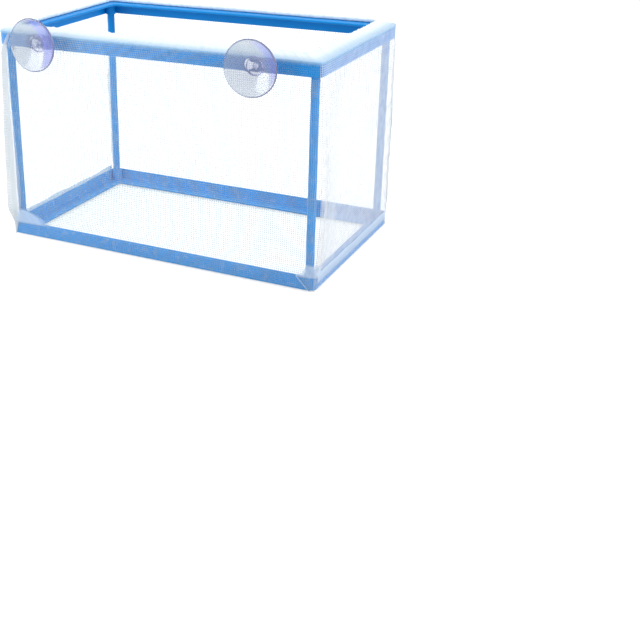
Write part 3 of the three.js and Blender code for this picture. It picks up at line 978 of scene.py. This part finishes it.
TUCKS = {
    "front_right": {
        "heights": (1.0, 4.0, 8.0, 11.4, 12.6, 14.5, 19.0, 22.0),
        "left": (3.0, 5.8, 9.8, 13.2, 12.4, 8.8, 7.2, 6.6),
        "right": (5.0, 6.5, 8.0, 9.0, 9.0, 8.5, 7.0, 5.5),
    },
    "front_left": {
        "heights": (9.0, 10.5, 12.0, 14.5, 17.0, 19.5, 21.5, 23.5),
        "left": (-1.0, 0.0, 1.0, 1.6, 1.8, 1.8, 1.6, 1.0),
        "right": (18.0, 32.0, 37.0, 35.0, 32.0, 26.0, 19.0, 13.0),
    },
}
TUCK_STAND = 0.0007
TUCK_RIPPLE = 0.00012
TUCK_RIPPLE_LENGTHS = (0.0009, 0.0017)
TUCK_BULGE = 0.0005
TUCK_FOLD_LINE = 0.0014
TUCK_RETURN_SHARE = 0.45
TUCK_POST_FADE = 0.001
TUCK_RING_EDGE_FADE = 0.0008
TUCK_RING_EDGE_RISE = 0.0003
TUCK_TOP_FADE = 0.002

# Turn-ups: the net's edge along the short sides of the bottom ring. Their cover goes by height, as a net's.
TURN_UP_FOOT = 0.0055
TURN_UP_FOLD = 0.0137
TURN_UP_BACK = 0.0112
TURN_UP_END = 0.003
TURN_UP_STAND = (0.0005, 0.0009)
TURN_UP_BACK_STAND = 0.0004
TURN_UP_WAVE_OUT = 0.00015
TURN_UP_WAVE_UP = 0.0006
TURN_UP_WAVE_LENGTHS = (0.006, 0.0141)
TURN_UP_FADE = 0.002
TURN_UP_COVER = ((TURN_UP_FOOT, TURN_UP_FOOT + TURN_UP_FADE, TURN_UP_FOLD), (0.10, 0.62, 0.80))


def tuck_cover(shares, from_fold, up, top, inner):
    """A tuck's cover. Its outer layer shows at the fold and over the post, is denser along the ring's top
    edge as a painted highlight of that lit edge, is almost clear over the ring, and fades to the right. Its
    inner layer hardly shows, and both fade at the top."""
    fold_line = fade(from_fold, TUCK_FOLD_LINE)
    over_ring = up - (bottom_high[2] + TUCK_RING_EDGE_RISE)
    on_post = np.clip(over_ring / TUCK_POST_FADE, 0, 1)
    # Denser cloth along the ring's top edge: a painted highlight of the ring's lit edge.
    painted_edge_highlight = fade(np.abs(over_ring), TUCK_RING_EDGE_FADE)
    at_right = np.clip((1 - shares) / 0.25, 0, 1)
    at_top = np.clip((top - up) / TUCK_TOP_FADE, 0, 1)
    outer = np.maximum(fold_line, 0.06 + 0.6 * on_post + 0.5 * painted_edge_highlight) * (0.1 + 0.9 * at_right) * at_top
    return np.where(inner, 0.08 * at_top, outer)


def lay_fold(name, grid, uv, cover):
    """Makes a fold of the net from its grid of points."""
    made = add_piece(name, grid, grid_faces(*grid.shape[:2]), uv=uv, cover=cover)
    dress(made, tucked_net)


def make_tuck(corner):
    """A tuck: its outer layer runs from the right edge to the fold at the left, and its inner layer part
    of the way back, closer to the ring. Two sets of low ripples run aslant over it."""
    table = {key: np.array(values) * MM for key, values in TUCKS[corner].items()}
    heights = np.linspace(table["heights"][0], table["heights"][-1], 40)
    left = -np.interp(heights, table["heights"], table["left"])
    right = np.interp(heights, table["heights"], table["right"])
    outer = np.linspace(1, 0, 26)
    inner = np.linspace(0, TUCK_RETURN_SHARE, 12)[1:]
    shares = np.concatenate([outer, inner])
    layer = np.concatenate([np.ones(len(outer)), np.zeros(len(inner))])
    reach = left[:, None] + (right - left)[:, None] * shares
    up = np.repeat(heights[:, None], len(shares), 1)
    ripple = np.sin((reach + 0.9 * up) / TUCK_RIPPLE_LENGTHS[0])
    ripple = ripple + 0.5 * np.sin((reach - 0.4 * up) / TUCK_RIPPLE_LENGTHS[1] + 1)
    bulge = layer * np.sin(np.pi * np.clip(shares * 1.2, 0, 1)) ** 0.5
    stand = TUCK_STAND + TUCK_RIPPLE * ripple + TUCK_BULGE * bulge
    distance = CORNER_AT[corner] + reach
    plan = walk(distance) + pull(corner, up) * fade(np.abs(reach), SLACK_REACH)[..., None]
    plan = plan + walk_out(distance) * stand[..., None]
    grid = np.concatenate([plan, up[..., None]], -1)
    cover = tuck_cover(shares, np.abs(reach - left[:, None]), up, heights[-1], layer == 0)
    measure = np.concatenate([outer, -inner]) * float((right - left).mean())
    lay_fold(f"{corner}_tuck", grid, grid_uv(measure, heights), cover)


def make_turn_up(side, start, end):
    """The net's double edge along a side of the bottom ring: it stands up past the ring's edge and folds
    back. It stands off the net by a little more towards the fold, with low waves along it."""
    first, last = wall_ends(start, end)
    along = np.linspace(first + TURN_UP_END, last - TURN_UP_END, 90)
    outer = np.linspace(TURN_UP_FOOT, TURN_UP_FOLD, 9)
    back = np.linspace(TURN_UP_FOLD, TURN_UP_BACK, 4)[1:]
    heights = np.concatenate([outer, back])
    stand = np.concatenate([np.linspace(*TURN_UP_STAND, len(outer)), np.full(len(back), TURN_UP_BACK_STAND)])
    distance = np.repeat(along[None], len(heights), 0)
    short, long = TURN_UP_WAVE_LENGTHS
    wave = 0.5 * np.sin(along / short) + 0.5 * np.sin(along / long + 2)
    rise = np.clip((heights - TURN_UP_FOOT) / (TURN_UP_FOLD - TURN_UP_FOOT), 0, 1)[:, None]
    plan = walk(distance) + walk_out(distance) * (stand[:, None] + TURN_UP_WAVE_OUT * wave * rise)[..., None]
    up = heights[:, None] + TURN_UP_WAVE_UP * wave * rise
    grid = np.concatenate([plan, up[..., None]], -1)
    cover = np.repeat(np.interp(heights, *TURN_UP_COVER)[:, None], len(along), 1)
    lay_fold(f"{side}_turn_up", grid, grid_uv(along, heights), cover)


for corner in TUCKS:
    make_tuck(corner)
make_turn_up("right", "front_right", "rear_right")
make_turn_up("left", "rear_left", "front_left")


# Hem and elastic

def make_hem():
    """The hem and the elastic cord in its fold.
    Across it, a point runs up a short skirt outside the ring, in over the lip, round the elastic and back on
    the lip. Along it, gathers lift and shift the fold, and fade out towards the frame's edge. A row of the
    hem is its points in plan, their heights, their cover and the row's distance across the cloth."""
    elastic_middle = (elastic_low[2] + elastic_high[2]) / 2
    mouth_low, mouth_high = elastic_low[:2] + ELASTIC_RADIUS, elastic_high[:2] - ELASTIC_RADIUS
    counts = (270, 156, 270, 156)
    outer_base, outward = rectangle_path(top_low, top_high, RING_CORNER_RADIUS, 12, counts)
    fold_base, _ = rectangle_path(mouth_low, mouth_high, FOLD_CORNER_RADIUS, 12, counts)
    outer = outer_base + outward * (RING_CORNER_RADIUS + NET_STANDOFF)
    fold = fold_base + outward * FOLD_CORNER_RADIUS
    _, around = round_trip(outer)
    turn = 2 * math.pi * (around[:-1] / around[-1])
    gathers = round(around[-1] / GATHER_LENGTH)
    phase = gathers * turn + 1.3 * np.sin(31 * turn + 1) + 1.1 * np.sin(12 * turn + 2)
    lift = 0.5 * np.sin(phase) + 0.3 * np.sin(0.5 * phase + 0.7) + 0.35 * np.sin(7 * turn + 0.4)
    shift = 0.5 * np.sin(phase + 1.7) + 0.5 * np.sin(23 * turn)

    lip_height = NET_TOP + LIP_STANDOFF
    rows = []
    for share in np.linspace(0, 1, 5):
        drop = SKIRT_DROP + (SKIRT_TOP - SKIRT_DROP) * share
        height = lip_height - drop + SKIRT_LIFT * lift
        rows.append((outer + outward * SKIRT_STANDOFF, height, 0.55 * share, -drop))
    for share in np.linspace(0, 1, 15)[:-1]:
        height = lip_height + (elastic_middle + FOLD_RADIUS - lip_height) * share ** 1.6
        rows.append((
            outer + (fold - outer) * share,
            height + LIP_LIFT * lift * share ** 0.9 - OUTER_EDGE_DIP * (share == 0),
            0.7 + 0.3 * min(share / 0.7, 1),
            share * OVER_LIP_WIDTH,
        ))
    foot = elastic_middle - NET_TOP - RETURN_STANDOFF
    for angle in np.linspace(90, 270, 9):
        spread = FOLD_RADIUS * np.cos(math.radians(angle))
        height = elastic_middle + (FOLD_RADIUS if angle <= 180 else foot) * math.sin(math.radians(angle))
        rows.append((
            fold + outward * (spread + FOLD_SHIFT * shift)[:, None],
            height + FOLD_LIFT * lift * np.interp(angle, (180, 260), (1, 0)),
            float(np.interp(angle, (235, 270), (1.0, 0.7))),
            OVER_LIP_WIDTH + FOLD_RADIUS * math.radians(angle - 90),
        ))
    for share in np.linspace(0, RETURN_SHARE, 5)[1:]:
        rows.append((
            fold + (outer - fold) * share,
            NET_TOP + RETURN_STANDOFF + RETURN_LIFT * np.abs(lift),
            0.7,
            OVER_LIP_WIDTH + FOLD_RADIUS * math.pi + share * OVER_LIP_WIDTH,
        ))
    plans, heights, covers, measure = zip(*rows)
    grid = np.concatenate([np.array(plans), np.array(heights)[..., None]], -1)
    cover = np.repeat(np.array(covers)[:, None], len(fold), 1)
    cloth = add_piece(
        "hem_cloth", grid, grid_faces(*grid.shape[:2], False, True),
        uv=grid_uv(around, measure, closed_columns=True), cover=cover,
    )
    dress(cloth, hem_net, replaces=("net_hem",))

    loops = [
        np.concatenate([
            fold + outward * (ELASTIC_RADIUS * math.cos(angle) + FOLD_SHIFT * shift)[:, None],
            (elastic_middle + ELASTIC_RADIUS * math.sin(angle) + CORD_LIFT * lift)[:, None],
        ], -1) for angle in np.linspace(0, 2 * math.pi, 10, endpoint=False)
    ]
    cord = add_piece("elastic_braid", np.array(loops), grid_faces(len(loops), len(fold), True, True))
    dress(cord, elastic_braid, replaces=("elastic_cord",))


make_hem()


# Suction cups

def make_cup(name, node, body):
    """A suction cup turned about its neck's axis: head, neck, boss, bowl, rim and hollow, with small rounds.
    The bowl's back and its hollow are parabolas that meet the rim."""
    low, high = corners_of(node)
    centre = ((low[0] + high[0]) / 2, top_low[1], (low[2] + high[2]) / 2)
    rim = (high[0] - low[0]) / 2
    reach = top_low[1] - low[1]
    head_front = -RING_WALL - FIT_GAP
    head_back = top_low[1] - high[1]
    head_flat, head_round = HEAD_RADIUS * 0.55, HEAD_RADIUS * 0.45
    boss_front = BOSS_GAP + BOSS_LENGTH
    floor = boss_front + FLOOR_THICKNESS
    lip = rim - RIM_WIDTH
    rim_back = reach - RIM_THICKNESS
    back = BOSS_RADIUS + (rim - BOWL_INSET - BOSS_RADIUS) * np.linspace(0, 1, 20) ** 0.9
    hollow = lip * (1 - np.linspace(0, 1, 24)[:-1])
    profile = [
        (0, head_back),
        (head_flat, head_back),
        *arc((head_flat, head_back + HEAD_ROUND_DEPTH), head_round, -75, 0, 5),
        *arc((HEAD_RADIUS - HEAD_EDGE, head_front - HEAD_EDGE), HEAD_EDGE, 0, 90, 3),
        (NECK_RADIUS + NECK_ROUND, head_front),
        (NECK_RADIUS, head_front + NECK_ROUND),
        (NECK_RADIUS, BOSS_GAP - NECK_ROUND),
        (NECK_RADIUS + NECK_ROUND, BOSS_GAP),
        *arc((BOSS_RADIUS - BOSS_ROUND, BOSS_GAP + BOSS_ROUND), BOSS_ROUND, -90, 0, 4),
        (BOSS_RADIUS, boss_front + BOWL_INSET),
        *[(r, boss_front + (rim_back - boss_front) * (r / rim) ** 2) for r in back[1:]],
        *arc((rim - RIM_ROUND, reach - RIM_ROUND), RIM_ROUND, 0, 90, 4),
        *[(r, floor + (reach - floor) * (r / lip) ** 2) for r in hollow],
        (0, floor),
    ]
    made = turned(name, profile, centre, "Y", sides=96)
    dress(made, cup_pvc, body=body, replaces=(node,))


make_cup("left_cup_moulding", "left_suction_cup", "left_cup")
make_cup("right_cup_moulding", "right_suction_cup", "right_cup")


# Camera, light and floor

def place_camera():
    """A camera at the photograph's viewing angle. It looks at the middle of the box's bottom, and its shift
    puts the box in the picture's upper left, where the photograph has it."""
    azimuth, elevation, roll = (math.radians(a) for a in (CAMERA_AZIMUTH, CAMERA_ELEVATION, CAMERA_ROLL))
    back = np.array([
        math.sin(azimuth) * math.cos(elevation),
        -math.cos(azimuth) * math.cos(elevation),
        math.sin(elevation),
    ])
    level = np.cross((0, 0, 1), back)
    level /= np.linalg.norm(level)
    upright = np.cross(back, level)
    right = math.cos(roll) * level + math.sin(roll) * upright
    up = -math.sin(roll) * level + math.cos(roll) * upright
    data = bpy.data.cameras.new("camera")
    data.sensor_width = 36.0
    data.lens = CAMERA_LENS_MM
    data.shift_x, data.shift_y = CAMERA_SHIFT
    data.clip_start, data.clip_end = 0.01, 20
    camera = bpy.data.objects.new("camera", data)
    turn = np.column_stack([right, up, back])
    camera.matrix_world = Matrix.Translation(CAMERA_PLACE) @ Matrix(turn.tolist()).to_4x4()
    bpy.context.scene.collection.objects.link(camera)
    bpy.context.scene.camera = camera


def soft_light(name, place, aim, size, power):
    """A square soft box that faces the aim."""
    data = bpy.data.lights.new(name, "AREA")
    data.shape = "SQUARE"
    data.size = size
    data.energy = power
    lamp = bpy.data.objects.new(name, data)
    lamp.visible_camera = False
    towards = Vector(place) - Vector(aim)
    lamp.matrix_world = Matrix.Translation(place) @ towards.to_track_quat("Z", "Y").to_matrix().to_4x4()
    bpy.context.scene.collection.objects.link(lamp)


def seen_directly(tree):
    """1 for what the camera, a mirror or clear plastic sees, and 0 for light that falls on things."""
    path = add_node(tree, "ShaderNodeLightPath")
    mirrored = add_node(tree, "ShaderNodeMath", {
        0: path.outputs["Is Glossy Ray"], 1: path.outputs["Is Transmission Ray"],
    }, operation="MAXIMUM")
    return add_node(tree, "ShaderNodeMath", {
        0: path.outputs["Is Camera Ray"], 1: mirrored.outputs[0],
    }, operation="MAXIMUM").outputs[0]


def make_surroundings():
    """A white backdrop, soft light from above, the right, the front left and the rear, and a white floor
    that keeps the shadow."""
    world = bpy.data.worlds.new("studio")
    bpy.context.scene.world = world
    world.use_nodes = True
    tree = world.node_tree
    tree.nodes.clear()
    level = add_node(tree, "ShaderNodeMapRange", {
        "Value": seen_directly(tree), "To Min": WORLD_LIGHT, "To Max": 1.0,
    })
    backdrop = add_node(tree, "ShaderNodeBackground", {
        "Color": (1, 1, 1, 1), "Strength": level.outputs["Result"],
    })
    output = add_node(tree, "ShaderNodeOutputWorld")
    tree.links.new(backdrop.outputs["Background"], output.inputs["Surface"])
    for name, place, aim, size, power in LAMPS:
        soft_light(name, place, aim, size, power)

    material, tree, output = new_material("white paper floor")
    lift = add_node(tree, "ShaderNodeMath", {0: seen_directly(tree), 1: FLOOR_GLOW}, operation="MULTIPLY")
    shader = add_node(tree, "ShaderNodeBsdfPrincipled", {
        "Base Color": (FLOOR_GREY, FLOOR_GREY, FLOOR_GREY, 1),
        "Roughness": 0.9,
        "Specular IOR Level": 0.0,
        "Emission Color": (1, 1, 1, 1),
        "Emission Strength": lift.outputs[0],
    })
    tree.links.new(shader.outputs["BSDF"], output.inputs["Surface"])
    half, drop = FLOOR_HALF, -FLOOR_DROP
    square = [(-half, -half, drop), (half, -half, drop), (half, half, drop), (-half, half, drop)]
    floor = add_piece("floor", square, [(0, 1, 2, 3)])
    floor.data.materials.append(material)


place_camera()
make_surroundings()
bpy.context.scene.view_settings.view_transform = "Standard"
